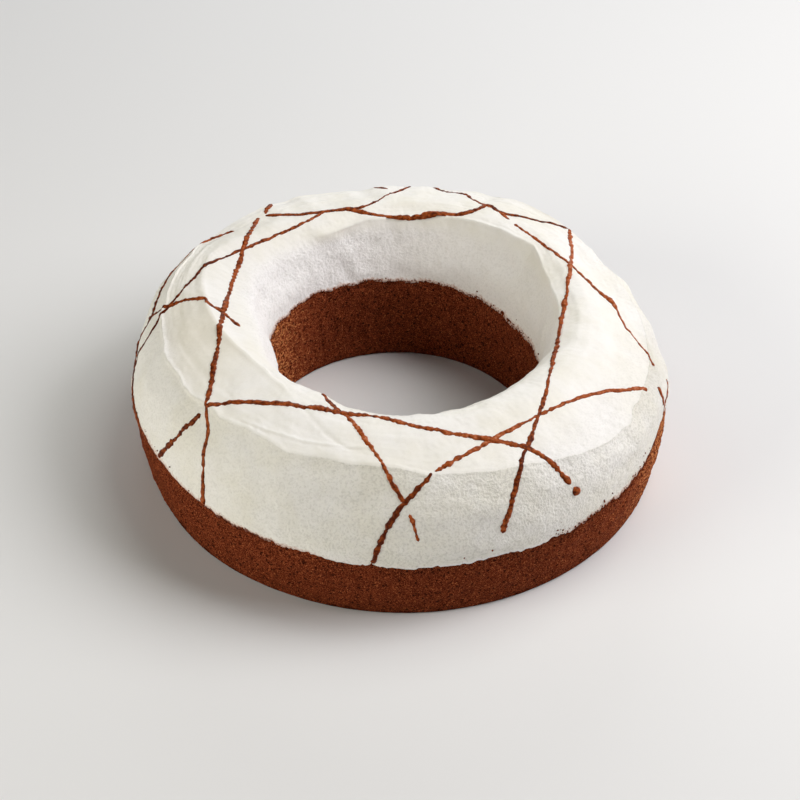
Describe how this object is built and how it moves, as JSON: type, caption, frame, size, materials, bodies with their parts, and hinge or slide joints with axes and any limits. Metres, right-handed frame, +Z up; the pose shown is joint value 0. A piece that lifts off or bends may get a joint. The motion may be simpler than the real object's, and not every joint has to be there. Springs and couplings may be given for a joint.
{
  "type": "frosted ring cake",
  "caption": "Round ring cake with an upright centre hole, a bare sponge base, smooth pale frosting over the top and shoulders, and thin chocolate strands drizzled across it.",
  "frame": {"origin": "centre of the flat base, in the middle of the centre hole", "axes": "+Z up along the centre hole; the side shown in the picture faces -Y, with +X to its right"},
  "size_m": [0.2273, 0.2303, 0.0714],
  "materials": {
    "cake": "matte",
    "frosting": "matte",
    "drizzle": "satin"
  },
  "bodies": {
    "root": {"cake": "cake", "frosting": "frosting"}
  },
  "joints": []
}
